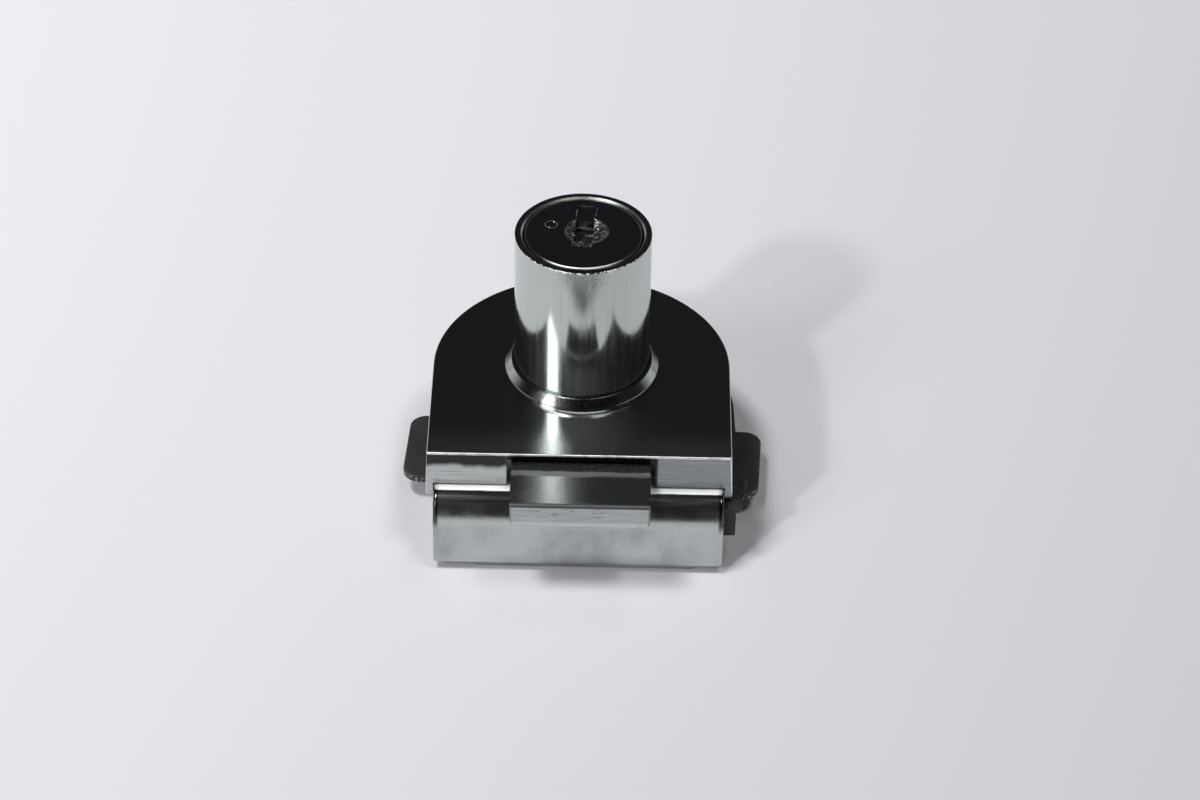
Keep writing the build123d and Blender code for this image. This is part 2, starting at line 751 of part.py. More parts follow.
# Clips in the necks' grooves, which keep the plate on its screws
with BuildPart() as screw_clips:
    with BuildSketch(Plane.XY.offset(plate_top)):
        with Locations(*clamp_screw_places):
            Circle(clip_radius)
        with Locations(*clamp_screw_places):
            Circle(neck_groove_radius + fit_gap, mode=Mode.SUBTRACT)
            Rectangle(clip_mouth, clip_radius, align=(Align.CENTER, Align.MAX), mode=Mode.SUBTRACT)
    extrude(amount=clip_thickness)
screw_clips.part.label = "screw_clips"
export_step(screw_clips.part, "parts/screw_clips.step")

# Clamp screws
for name, place in zip(("clamp_screw_left", "clamp_screw_right"), clamp_screw_places):
    with BuildPart() as clamp_screw:
        with BuildSketch(Plane.XZ):
            with BuildLine():
                Polyline(
                    (0, clamp_screw_sink),
                    (clamp_screw_radius - clamp_screw_bevel, clamp_screw_sink),
                    (clamp_screw_radius, clamp_screw_sink + clamp_screw_bevel),
                    (clamp_screw_radius, channel_floor),
                    (neck_radius, channel_floor),
                    (neck_radius, plate_top - fit_gap),
                    (neck_groove_radius, plate_top - fit_gap),
                    (neck_groove_radius, neck_groove_top),
                    (neck_radius, neck_groove_top),
                    (neck_radius, neck_groove_top + neck_cap),
                    (0, neck_groove_top + neck_cap),
                    close=True,
                )
            make_face()
        revolve(axis=Axis.Z)
        with BuildSketch(Plane.XY.offset(clamp_screw_sink)):
            RegularPolygon(radius=socket_width / 2, side_count=6, major_radius=False)
        extrude(amount=socket_depth, mode=Mode.SUBTRACT)
    placed_screw = Location((place[0], place[1], 0)) * clamp_screw.part
    placed_screw.label = name
    export_step(placed_screw, f"parts/{name}.step")
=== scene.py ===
import json
import math
import random

import bpy
from mathutils import Matrix, Vector


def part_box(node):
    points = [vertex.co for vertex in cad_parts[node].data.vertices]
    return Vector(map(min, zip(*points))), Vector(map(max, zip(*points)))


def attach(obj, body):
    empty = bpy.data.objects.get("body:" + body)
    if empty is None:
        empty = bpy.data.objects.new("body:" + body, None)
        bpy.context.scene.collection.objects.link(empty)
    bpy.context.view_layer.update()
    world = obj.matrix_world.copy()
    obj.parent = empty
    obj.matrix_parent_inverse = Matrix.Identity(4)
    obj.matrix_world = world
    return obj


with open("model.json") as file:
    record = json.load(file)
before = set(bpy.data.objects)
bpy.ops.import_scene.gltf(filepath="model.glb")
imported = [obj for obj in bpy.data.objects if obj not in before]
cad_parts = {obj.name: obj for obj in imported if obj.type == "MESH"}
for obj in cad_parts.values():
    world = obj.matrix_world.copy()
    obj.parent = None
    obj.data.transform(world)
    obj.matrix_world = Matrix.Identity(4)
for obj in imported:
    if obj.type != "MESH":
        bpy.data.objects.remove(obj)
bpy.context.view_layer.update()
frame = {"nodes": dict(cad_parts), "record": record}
nodes = frame["nodes"]
scene = bpy.context.scene
scene.view_settings.view_transform = "Standard"

MM = 0.001

# The camera, as fitted to the photograph: angles in degrees, distances in metres, and the sensor
# and the lens in millimetres
CAMERA_ELEVATION = 37.92
CAMERA_AZIMUTH = 0.49
CAMERA_ROLL = 0.78
CAMERA_DISTANCE = 0.600
CAMERA_CLIP = 0.01
CAMERA_SENSOR = 36.0
CAMERA_LENS = 109.85
CAMERA_SHIFT = (0.01525, -0.0291)

# How far most lamps stand from the origin, in metres
LAMP_DISTANCE = 1.5

# The floor is a square whose colour falls off evenly along a line, from the left back to the right
# front, between the reach before the origin and the reach after it, in metres: painted shade
FLOOR_HALF = 4.0
FLOOR_BRIGHT = (0.965, 0.950, 1.0)
FLOOR_PAINTED_SHADE = (0.5425, 0.555, 0.575)
FLOOR_FALL = (0.92, -0.88)
FLOOR_REACH = 0.25

# The room goes from pale to dark between two heights of a direction, 0 at the horizon and 1
# overhead. In front, as the direction's Y goes between two values, a lift is added to its height.
ROOM_PALE = (0.78, 0.775, 0.81)
ROOM_DARK = (0.016, 0.016, 0.017)
ROOM_PALE_TO = 0.10
ROOM_DARK_FROM = 0.26
ROOM_AHEAD = (-0.6, -0.95)
ROOM_LIFT = 0.16

# Faces of the lock that the finishes are measured from
TOP_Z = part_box("housing")[1].z
FACE_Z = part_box("plug")[1].z
RIM_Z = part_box("barrel_sleeve")[1].z
FRONT_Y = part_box("housing")[0].y

# The point that the camera looks at before its shift: the barrel's axis at the top of the cover
AIM = Vector((0.0, 0.0, TOP_Z))

# How places are squeezed before noise is laid on them: an axis under 1 draws the noise out along it
EVEN = (1.0, 1.0, 1.0)
LINES_ALONG_X = (0.05, 1.0, 1.0)
LINES_ALONG_Z = (1.0, 1.0, 0.05)

# Linear colours, by piece: first what it is made of, then its marks, and the painted highlights,
# reflections and shade laid on it
COVER_PLATING = (0.545, 0.575, 0.56)
COVER_WALL_RIGHT = (0.27, 0.285, 0.29)
COVER_WALL_LINES = (0.40, 0.42, 0.42)
COVER_WALL_SHADE = (0.04, 0.042, 0.043)
COVER_NOTCH_SHADE = (0.03, 0.031, 0.032)
COVER_EDGE_HIGHLIGHT = (0.93, 0.93, 0.93)
BARREL_PLATING = (0.55, 0.585, 0.56)
BARREL_DARK_REFLECTION = (0.10, 0.105, 0.10)
BARREL_SHADE = (0.30, 0.315, 0.30)
BARREL_SPECKS = (0.10, 0.105, 0.11)
BARREL_EDGE_HIGHLIGHT = (0.9, 0.9, 0.9)
COLLAR_PLATING = (0.42, 0.445, 0.435)
COLLAR_SPECKS = (0.05, 0.052, 0.055)
COLLAR_RINGS = (0.30, 0.315, 0.32)
COLLAR_FRONT_DARK = (0.06, 0.062, 0.065)
COLLAR_GLINT = (0.95, 0.95, 0.95)
PLUG_PLATING = (0.50, 0.52, 0.52)
PLUG_RECESS_SHADE = (0.07, 0.073, 0.076)
PLUG_SPECK_GLINTS = (0.90, 0.92, 0.92)
PLUG_EDGE_HIGHLIGHT = (0.80, 0.82, 0.82)
BOLT_PLATING = (0.46, 0.475, 0.467)
BOLT_FRONT = (0.47, 0.50, 0.49)
BOLT_FILED = (0.36, 0.385, 0.375)
BOLT_LIP_HIGHLIGHT = (0.58, 0.61, 0.60)
BOLT_CUTS = (0.11, 0.115, 0.12)
BOLT_OUTLINE_SHADE = (0.14, 0.145, 0.15)
BOLT_BROW = (0.13, 0.135, 0.14)
BOLT_BAND_HIGHLIGHT = (0.40, 0.415, 0.41)
BOLT_BACK_SHADOW = (0.05, 0.052, 0.055)
BOLT_SPECKS = (0.24, 0.25, 0.25)
CLAMP_PLATING = (0.56, 0.59, 0.575)
CLAMP_EDGE_HIGHLIGHT = (0.97, 0.97, 0.97)
CLAMP_ENDS_SHADE = (0.09, 0.095, 0.095)
CLAMP_FACE = (0.52, 0.55, 0.54)
CLAMP_CLOUDS = (0.34, 0.365, 0.36)
PLATE_BLACK = (0.032, 0.032, 0.033)
PLATE_PALE_SPECKS = (0.55, 0.55, 0.56)
RUBBER_BLACK = (0.014, 0.014, 0.0145)
RUBBER_DUST = (0.035, 0.035, 0.036)
CORE_BRASS = (0.62, 0.50, 0.30)
CORE_END_SHADE = (0.10, 0.10, 0.105)
PIN_BRASS = (0.66, 0.54, 0.32)
CAM_STEEL = (0.50, 0.50, 0.50)
SHUTTER_STEEL = (0.13, 0.115, 0.105)
SHUTTER_STAINS = (0.07, 0.062, 0.056)
SHUTTER_EDGE_HIGHLIGHT = (0.62, 0.60, 0.57)
SPRING_STEEL = (0.48, 0.48, 0.49)
SCREW_STEEL = (0.52, 0.52, 0.53)
SCREW_BLACK = (0.14, 0.14, 0.15)

# The torn rubber: a strip towards -Y whose section bulges in the middle of its length, tears at
# its tip and sags, in millimetres
TORN_SEED = 7
TORN_STEPS = 40
TORN_START = -15.6
TORN_LENGTH = 6.0
TORN_INNER_X = 24.6
TORN_OUTER_X = 26.0
TORN_BULGE = 1.35
TORN_TAPER = 1.1
TORN_TEAR = 0.16
TORN_RAG = 0.35
TORN_RAG_EVERY = 9
TORN_RAG_FIRST = 4
TORN_SAG = 0.3
TORN_WAVE = 0.06
TORN_TOP_Z = 11.3
TORN_FOOT_Z = 10.5


def direction(azimuth, elevation):
    """A unit vector towards a light or camera; azimuth 0 is the front and grows to the right."""
    a = math.radians(azimuth)
    e = math.radians(elevation)
    return Vector((math.sin(a) * math.cos(e), -math.cos(a) * math.cos(e), math.sin(e)))


def facing(position, target, roll=0.0):
    """The matrix of a camera or lamp at a position that looks at a target."""
    back = (position - target).normalized()
    right = Vector((0, 0, 1)).cross(back).normalized()
    up = back.cross(right)
    c = math.cos(math.radians(roll))
    s = math.sin(math.radians(roll))
    turned_right = right * c + up * s
    turned_up = up * c - right * s
    rotation = Matrix((turned_right, turned_up, back)).transposed().to_4x4()
    return Matrix.Translation(position) @ rotation


def make_camera():
    """The camera that sees the lock as the photograph does."""
    data = bpy.data.cameras.new("camera")
    data.sensor_width = CAMERA_SENSOR
    data.lens = CAMERA_LENS
    data.shift_x, data.shift_y = CAMERA_SHIFT
    data.clip_start = CAMERA_CLIP
    camera = bpy.data.objects.new("camera", data)
    scene.collection.objects.link(camera)
    position = AIM + direction(CAMERA_AZIMUTH, CAMERA_ELEVATION) * CAMERA_DISTANCE
    camera.matrix_world = facing(position, AIM, CAMERA_ROLL)
    scene.camera = camera


def make_lamp(name, azimuth, elevation, size, radiance, distance=LAMP_DISTANCE):
    """An area lamp that faces the object. Radiance is how bright a mirror shows it; 1 is white."""
    width, height = size
    data = bpy.data.lights.new(name, "AREA")
    data.shape = "RECTANGLE"
    data.size = width
    data.size_y = height
    data.energy = radiance * math.pi * width * height
    lamp = bpy.data.objects.new(name, data)
    scene.collection.objects.link(lamp)
    lamp.matrix_world = facing(direction(azimuth, elevation) * distance, Vector((0, 0, 0)))
    return lamp


def make_lights():
    """A key from the left front, a light from behind and two fills. The key's small core draws
    the shadows and stays out of reflections, which show its wide and faint part alone."""
    make_lamp("rear_light", 150.0, 66.0, size=(0.22, 0.28), radiance=4.0)
    make_lamp("key_light", -50.0, 39.5, size=(0.37, 0.56), radiance=6.0)
    core = make_lamp("key_core", -36.0, 36.3, size=(0.08, 0.09), radiance=225.0, distance=1.45)
    core.visible_glossy = False
    make_lamp("left_fill", -55.0, 69.0, size=(0.4, 0.25), radiance=34.5)
    make_lamp("right_fill", 54.0, 69.0, size=(0.4, 0.25), radiance=15.0)


class Shader:
    """A material's node tree, with short names for the nodes that this scene uses.

    A mask is a socket that is 1 where it holds and 0 elsewhere. Places are object coordinates in
    metres, which at rest are the shared frame's for every piece."""

    def __init__(self, name, color, roughness, metallic=1.0):
        self.material = bpy.data.materials.new(name)
        self.material.use_nodes = True
        self.tree = self.material.node_tree
        self.surface = self.tree.nodes["Principled BSDF"]
        self.color = color
        self.rough = None
        self.set(self.surface, "Base Color", (*color, 1.0))
        self.set(self.surface, "Roughness", roughness)
        self.set(self.surface, "Metallic", metallic)
        self.material.diffuse_color = (*color, 1.0)

    def set(self, node, socket, value):
        node.inputs[socket].default_value = value

    def link(self, source, node, socket):
        self.tree.links.new(source, node.inputs[socket])

    def place(self, scale=EVEN, turn=(0.0, 0.0, 0.0)):
        """Object coordinates, scaled and turned."""
        coordinates = self.tree.nodes.new("ShaderNodeTexCoord")
        mapping = self.tree.nodes.new("ShaderNodeMapping")
        self.set(mapping, "Scale", scale)
        self.set(mapping, "Rotation", turn)
        self.link(coordinates.outputs["Object"], mapping, "Vector")
        return mapping.outputs["Vector"]

    def split(self, place):
        """The three coordinates of a place."""
        node = self.tree.nodes.new("ShaderNodeSeparateXYZ")
        self.link(place, node, "Vector")
        return node.outputs

    def axis(self, letter):
        """One object coordinate."""
        return self.split(self.place())[letter]

    def aside(self, letter, middle=0.0):
        """The distance along one axis from a middle, to both sides."""
        return self.math("ABSOLUTE", self.math("SUBTRACT", self.axis(letter), middle), 0.0)

    def around(self, x, y, squeeze=1.0):
        """The distance from an upright line. A squeeze under 1 draws the circles out along X."""
        node = self.tree.nodes.new("ShaderNodeVectorMath")
        node.operation = "DISTANCE"
        self.link(self.place((squeeze, 1.0, 0.0)), node, 0)
        node.inputs[1].default_value = (x * squeeze, y, 0.0)
        return node.outputs["Value"]

    def noise(self, place, scale, detail=3.0, roughness=0.6, distortion=0.0):
        """Noise between 0 and 1, whose features are about 1 / scale metres across."""
        node = self.tree.nodes.new("ShaderNodeTexNoise")
        self.set(node, "Scale", scale)
        self.set(node, "Detail", detail)
        self.set(node, "Roughness", roughness)
        self.set(node, "Distortion", distortion)
        self.link(place, node, "Vector")
        return node.outputs["Fac"]

    def ramp(self, value, start, end, at_start=0.0, at_end=1.0):
        """Goes from one level to another as the value goes from start to end, upwards or
        downwards, and holds beyond them."""
        if end < start:
            start, end, at_start, at_end = end, start, at_end, at_start
        node = self.tree.nodes.new("ShaderNodeMapRange")
        node.interpolation_type = "SMOOTHSTEP"
        self.set(node, "From Min", start)
        self.set(node, "From Max", end)
        self.set(node, "To Min", at_start)
        self.set(node, "To Max", at_end)
        self.link(value, node, "Value")
        return node.outputs["Result"]

    def band(self, value, start, low, high, end):
        """A mask that holds from low to high and is gone at the start and the end."""
        return self.both(self.ramp(value, start, low), self.ramp(value, end, high))

    def waver(self, value, noise, reach):
        """The value, wandering by the reach, so that what it ends has a ragged edge."""
        return self.math("ADD", value, self.ramp(noise, 0.3, 0.7, -reach, reach))

    def math(self, operation, first, second):
        """An operation on two values, each a socket or a number."""
        node = self.tree.nodes.new("ShaderNodeMath")
        node.operation = operation
        for i, value in enumerate((first, second)):
            if isinstance(value, (int, float)):
                node.inputs[i].default_value = value
            else:
                self.tree.links.new(value, node.inputs[i])
        return node.outputs["Value"]

    def faint(self, mask, share):
        """A share of a mask."""
        return self.math("MULTIPLY", mask, share)

    def both(self, *masks):
        """Where every mask holds: their product."""
        result = masks[0]
        for mask in masks[1:]:
            result = self.math("MULTIPLY", result, mask)
        return result

    def either(self, *masks):
        """Where any mask holds: the largest of them."""
        result = masks[0]
        for mask in masks[1:]:
            result = self.math("MAXIMUM", result, mask)
        return result

    def mix(self, factor, first, second):
        """A colour between two, of which the first can be a socket."""
        node = self.tree.nodes.new("ShaderNodeMix")
        node.data_type = "RGBA"
        self.tree.links.new(factor, node.inputs[0])
        for i, value in ((6, first), (7, second)):
            if isinstance(value, tuple):
                node.inputs[i].default_value = (*value, 1.0)
            else:
                self.tree.links.new(value, node.inputs[i])
        return node.outputs[2]

    def paint(self, mask, color):
        """Lays a colour over the base colour where the mask holds."""
        self.color = self.mix(mask, self.color, color)
        self.link(self.color, self.surface, "Base Color")

    def roughen(self, value):
        """Adds to the roughness. The first call takes the place of the plain roughness."""
        self.rough = value if self.rough is None else self.math("ADD", self.rough, value)
        self.link(self.rough, self.surface, "Roughness")

    def haze(self, mask):
        """A dull film: the share of the surface, by the mask, that isn't metal."""
        self.link(self.math("SUBTRACT", 1.0, mask), self.surface, "Metallic")

    def bump(self, height, distance, strength=1.0):
        """Tilts the surface as if it stood out by the height, where 1 is the distance in metres."""
        node = self.tree.nodes.new("ShaderNodeBump")
        self.set(node, "Strength", strength)
        self.set(node, "Distance", distance)
        self.link(height, node, "Height")
        self.link(node.outputs["Normal"], self.surface, "Normal")


def shade(color, factor):
    """A colour made darker, or paler with a factor over 1."""
    return tuple(c * factor for c in color)


def chrome(name, color, roughness, grain, grain_scale, spread, streaks, clouds):
    """Chrome plate with fine lines along the grain and faint clouds.

    The spread is how much the roughness varies, and streaks and clouds are how much they darken."""
    shader = Shader(name, color, roughness)
    lines = shader.noise(shader.place(grain), grain_scale, detail=4.0)
    cloudy = shader.noise(shader.place(), 110.0, detail=5.0, distortion=0.4)
    least, most = roughness * (1 - spread), roughness * (1 + spread)
    shader.roughen(shader.ramp(lines, 0.35, 0.7, least, most))
    shader.paint(shader.ramp(lines, 0.4, 0.75), shade(color, 1 - streaks))
    shader.paint(shader.ramp(cloudy, 0.42, 0.72, 0.0, 4 * clouds), shade(color, 0.75))
    return shader


def cover_chrome():
    """The cover: a mirror on top with a faint film before the barrel, brushed on its front wall
    with a painted dark reflection at its upper left and painted shade about the notch, and painted
    highlights along its top front edge and its right front corner."""
    shader = chrome("cover_chrome", COVER_PLATING, 0.125, grain=LINES_ALONG_X, grain_scale=2200.0,
                    spread=0.07, streaks=0.03, clouds=0.04)
    x = shader.axis("X")
    y = shader.axis("Y")
    z = shader.axis("Z")
    film = shader.ramp(shader.around(0.3 * MM, -15.5 * MM, 0.8), 10.0 * MM, 0.0, 0.0, 0.045)
    glow = shader.ramp(shader.around(1.2 * MM, -12.7 * MM, 0.5), 2.2 * MM, 0.0, 0.0, 0.11)
    shader.haze(shader.either(film, glow))

    wall = shader.both(shader.ramp(y, FRONT_Y + 0.4 * MM, FRONT_Y + 0.1 * MM),
                       shader.ramp(z, TOP_Z - 0.2 * MM, TOP_Z - 0.4 * MM))
    right = shader.ramp(x, 10.0 * MM, 12.0 * MM)
    left = shader.ramp(x, -10.0 * MM, -12.0 * MM)
    notch = shader.ramp(shader.aside("X", 0.5 * MM), 12.3 * MM, 11.8 * MM)
    brushed = shader.noise(shader.place((0.025, 1.0, 1.0)), 5200.0, detail=4.0, roughness=0.65)
    ragged = shader.noise(shader.place((0.7, 1.0, 0.2)), 260.0, detail=2.0, roughness=0.5)
    height = shader.waver(z, ragged, 0.4 * MM)
    upper_left = shader.both(left, shader.ramp(height, TOP_Z - 3.1 * MM, TOP_Z - 1.9 * MM))
    shader.paint(shader.both(wall, right), COVER_WALL_RIGHT)
    shader.paint(shader.both(wall, shader.ramp(brushed, 0.45, 0.75)), COVER_WALL_LINES)
    # Painted dark reflection: a ragged dark band on the upper left of the front wall
    shader.paint(shader.both(wall, upper_left), COVER_WALL_SHADE)
    # Painted shade on the front wall about the notch that the bolt comes out of
    shader.paint(shader.both(wall, notch), COVER_NOTCH_SHADE)
    shader.roughen(shader.both(wall, shader.ramp(brushed, 0.3, 0.7, 0.06, 0.22)))

    on_top = shader.ramp(z, TOP_Z - 0.2 * MM, TOP_Z - 0.1 * MM)
    shader.roughen(shader.both(on_top, shader.ramp(y, -14.0 * MM, -22.0 * MM, 0.0, 0.10)))

    # The walls stand further out at the foot, and the corner's painted highlight line follows them
    lean = shader.ramp(z, TOP_Z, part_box("housing")[0].z, 0.0, -0.35 * MM)
    corner = shader.both(shader.ramp(shader.math("ADD", x, lean), 24.04 * MM, 24.20 * MM),
                         shader.ramp(y, FRONT_Y + 0.8 * MM, FRONT_Y + 0.5 * MM))
    brow = shader.both(
        shader.band(z, TOP_Z - 0.4 * MM, TOP_Z - 0.3 * MM, TOP_Z - 0.04 * MM, TOP_Z - 0.01 * MM),
        shader.ramp(y, FRONT_Y + 0.6 * MM, FRONT_Y + 0.4 * MM),
    )
    # Painted highlights: a bright line on the right front corner and along the top front edge,
    # broken by noise
    breakup_noise = shader.noise(shader.place((0.5, 1.0, 0.5)), 900.0)
    brow_highlight = shader.both(brow, shader.ramp(breakup_noise, 0.4, 0.5, 0.4, 1.0))
    shader.paint(shader.either(corner, brow_highlight), COVER_EDGE_HIGHLIGHT)
    shader.roughen(shader.faint(brow, 0.3))
    shader.bump(shader.both(wall, brushed), 0.006 * MM, 0.5)
    return shader.material


def barrel_chrome():
    """The sleeve: upright polishing lines, a painted dark reflection under the rim and painted
    shade lower down at the front, a film near the foot at the front, and a painted highlight on the
    front of its outer rim."""
    shader = chrome("barrel_chrome", BARREL_PLATING, 0.13, grain=LINES_ALONG_Z, grain_scale=1700.0,
                    spread=0.3, streaks=0.07, clouds=0.05)
    x = shader.axis("X")
    z = shader.axis("Z")
    front = shader.ramp(shader.axis("Y"), -4.0 * MM, -6.0 * MM)
    sideways = shader.aside("X", 0.2 * MM)
    film = shader.both(front, shader.band(x, -10.0 * MM, -4.0 * MM, -2.0 * MM, 5.0 * MM),
                       shader.ramp(z, 36.0 * MM, 30.0 * MM))
    shader.haze(shader.faint(film, 0.055))

    # The painted dark reflection grows wider towards the rim
    widening = shader.math("MULTIPLY", shader.math("SUBTRACT", z, 40.0 * MM), 0.28)
    beyond = shader.math("SUBTRACT", sideways, widening)
    streaky = shader.noise(shader.place((1.0, 1.0, 0.3)), 600.0, detail=4.0)
    reflection_patch = shader.both(front, shader.ramp(beyond, 2.2 * MM, -0.4 * MM),
                        shader.ramp(z, 37.0 * MM, 41.0 * MM),
                        shader.ramp(streaky, 0.25, 0.6, 0.6, 1.0),
                        shader.ramp(z, RIM_Z, RIM_Z - 5.0 * MM, 0.45, 0.85))
    shader.paint(reflection_patch, BARREL_DARK_REFLECTION)
    # Painted shade: a darker zone lower down at the front
    low_shade_patch = shader.both(front, shader.ramp(sideways, 3.0 * MM, 1.8 * MM),
                            shader.band(z, 27.2 * MM, 29.7 * MM, 33.4 * MM, 35.2 * MM))
    shader.paint(low_shade_patch, BARREL_SHADE)
    specks = shader.noise(shader.place((1.0, 1.0, 2.2)), 3000.0, detail=4.0, roughness=0.75)
    speckled = shader.both(front, shader.ramp(z, RIM_Z - 4.8 * MM, RIM_Z - 0.6 * MM),
                           shader.ramp(sideways, 5.5 * MM, 1.5 * MM),
                           shader.ramp(specks, 0.50, 0.60, 0.0, 0.9))
    shader.paint(speckled, BARREL_SPECKS)

    out = shader.around(0.0, 0.0)
    bore = shader.ramp(out, 10.1 * MM, 10.0 * MM)
    near_rim = shader.ramp(z, RIM_Z - 2.0 * MM, RIM_Z - 1.6 * MM, 0.0, 0.18)
    shader.roughen(shader.both(bore, near_rim))
    # A painted highlight on the front of the outer rim, broken by noise
    edge_highlight = shader.both(shader.ramp(z, RIM_Z - 0.4 * MM, RIM_Z - 0.2 * MM),
                       shader.ramp(out, 10.82 * MM, 10.90 * MM), front)
    breakup_noise = shader.noise(shader.place(), 1500.0)
    shader.roughen(shader.both(edge_highlight, shader.ramp(breakup_noise, 0.48, 0.56, 0.0, 0.5)))
    shader.paint(shader.both(edge_highlight, shader.ramp(breakup_noise, 0.50, 0.56)), BARREL_EDGE_HIGHLIGHT)
    return shader.material


def collar_chrome():
    """The collar: turned rings, rough and darker at the front, with painted highlights: a bright
    spot under the barrel's streak and a bright line along its foot."""
    shader = chrome("collar_chrome", COLLAR_PLATING, 0.14, grain=EVEN, grain_scale=3000.0,
                    spread=0.3, streaks=0.10, clouds=0.06)
    rings = shader.noise(shader.place((0.1, 0.1, 1.0)), 9000.0)
    specks = shader.noise(shader.place(), 4200.0, detail=5.0, roughness=0.8)
    front = shader.ramp(shader.axis("Y"), -8.5 * MM, -10.5 * MM)
    shader.paint(shader.both(front, shader.ramp(specks, 0.44, 0.56)), COLLAR_SPECKS)
    shader.paint(shader.ramp(rings, 0.5, 0.75, 0.0, 0.5), COLLAR_RINGS)
    # The front is painted darker over a band, broken by noise
    front_marks = shader.both(
        front, shader.band(shader.axis("X"), -3.5 * MM, -0.5 * MM, 5.0 * MM, 8.0 * MM),
        shader.ramp(specks, 0.66, 0.58),
    )
    shader.paint(front_marks, COLLAR_FRONT_DARK)
    shader.roughen(shader.both(front, shader.ramp(specks, 0.4, 0.6, 0.05, 0.25)))

    # Painted highlights: a spot under the barrel's streak and a line along the foot
    spot = shader.both(shader.ramp(shader.around(-5.4 * MM, -11.6 * MM), 1.6 * MM, 0.7 * MM),
                       shader.ramp(specks, 0.62, 0.54))
    foot = shader.both(
        front, shader.ramp(shader.axis("Z"), TOP_Z + 0.22 * MM, TOP_Z + 0.16 * MM),
        shader.ramp(shader.aside("X", 0.4 * MM), 4.6 * MM, 3.0 * MM),
    )
    glint = shader.either(spot, foot)
    shader.paint(glint, COLLAR_GLINT)
    shader.haze(shader.faint(glint, 0.6))
    shader.bump(specks, 0.01 * MM, 0.35)
    return shader.material


def plug_chrome():
    """The plug: a polished face with a rough recess painted dark as shade and flecked with painted
    glints, and painted highlights at the rim, the recess's lip, the index mark and the key slot's
    outline."""
    shader = chrome("plug_chrome", PLUG_PLATING, 0.11, grain=EVEN, grain_scale=2500.0,
                    spread=0.08, streaks=0.03, clouds=0.06)
    z = shader.axis("Z")
    on_face = shader.ramp(z, FACE_Z - 0.03 * MM, FACE_Z - 0.01 * MM)
    from_middle = shader.around(0.0, 0.0)
    from_recess = shader.around(0.5 * MM, 0.67 * MM)
    from_mark = shader.around(-5.2 * MM, 2.3 * MM)

    recess = shader.both(shader.ramp(z, FACE_Z - 0.02 * MM, FACE_Z - 0.06 * MM),
                         shader.ramp(from_recess, 3.8 * MM, 3.6 * MM),
                         shader.ramp(z, FACE_Z - 1.2 * MM, FACE_Z - 1.0 * MM))
    specks = shader.noise(shader.place(), 3200.0, roughness=0.7)
    # The recess is painted dark as shade, with painted glints in specks
    shader.paint(recess, PLUG_RECESS_SHADE)
    shader.paint(shader.both(recess, shader.ramp(specks, 0.57, 0.62)), PLUG_SPECK_GLINTS)
    shader.roughen(shader.both(recess, shader.ramp(specks, 0.3, 0.7, 0.2, 0.5)))

    rim = shader.both(shader.ramp(from_middle, 9.15 * MM, 9.22 * MM),
                      shader.ramp(z, FACE_Z - 0.5 * MM, FACE_Z - 0.4 * MM),
                      shader.ramp(shader.axis("Y"), -6.0 * MM, -8.8 * MM, 0.25, 1.0))
    lip_highlight = shader.both(shader.band(from_recess, 3.45 * MM, 3.52 * MM, 3.60 * MM, 3.66 * MM),
                      shader.ramp(z, FACE_Z - 0.1 * MM, FACE_Z - 0.05 * MM))
    mark = shader.both(on_face, shader.band(from_mark, 0.90 * MM, 0.93 * MM, 1.00 * MM, 1.05 * MM))

    # The slot's painted highlight outline, in coordinates turned with the slot
    slot = shader.split(shader.place(turn=(0.0, 0.0, math.radians(4.0))))
    across = shader.math("ABSOLUTE", slot["X"], 0.0)
    along = slot["Y"]
    sides = shader.both(shader.band(across, 1.40 * MM, 1.46 * MM, 1.60 * MM, 1.68 * MM),
                        shader.band(along, -3.6 * MM, -3.5 * MM, 7.6 * MM, 7.7 * MM))
    near_end = shader.band(along, -3.62 * MM, -3.54 * MM, -3.44 * MM, -3.38 * MM)
    far_end = shader.band(along, 7.38 * MM, 7.44 * MM, 7.58 * MM, 7.66 * MM)
    ends = shader.both(shader.ramp(across, 1.66 * MM, 1.58 * MM), shader.either(near_end, far_end))
    broken = shader.ramp(shader.noise(shader.place(), 1400.0), 0.42, 0.58)
    outline = shader.both(on_face, shader.either(sides, ends), broken)

    # Painted highlights on the slot's outline, the index mark, the rim and the recess's lip
    light = shader.either(shader.faint(outline, 0.8), mark, rim, shader.faint(lip_highlight, 0.4))
    shader.paint(light, PLUG_EDGE_HIGHLIGHT)
    shader.roughen(shader.faint(light, 0.38))
    shader.bump(shader.both(recess, specks), 0.08 * MM, 0.8)
    return shader.material


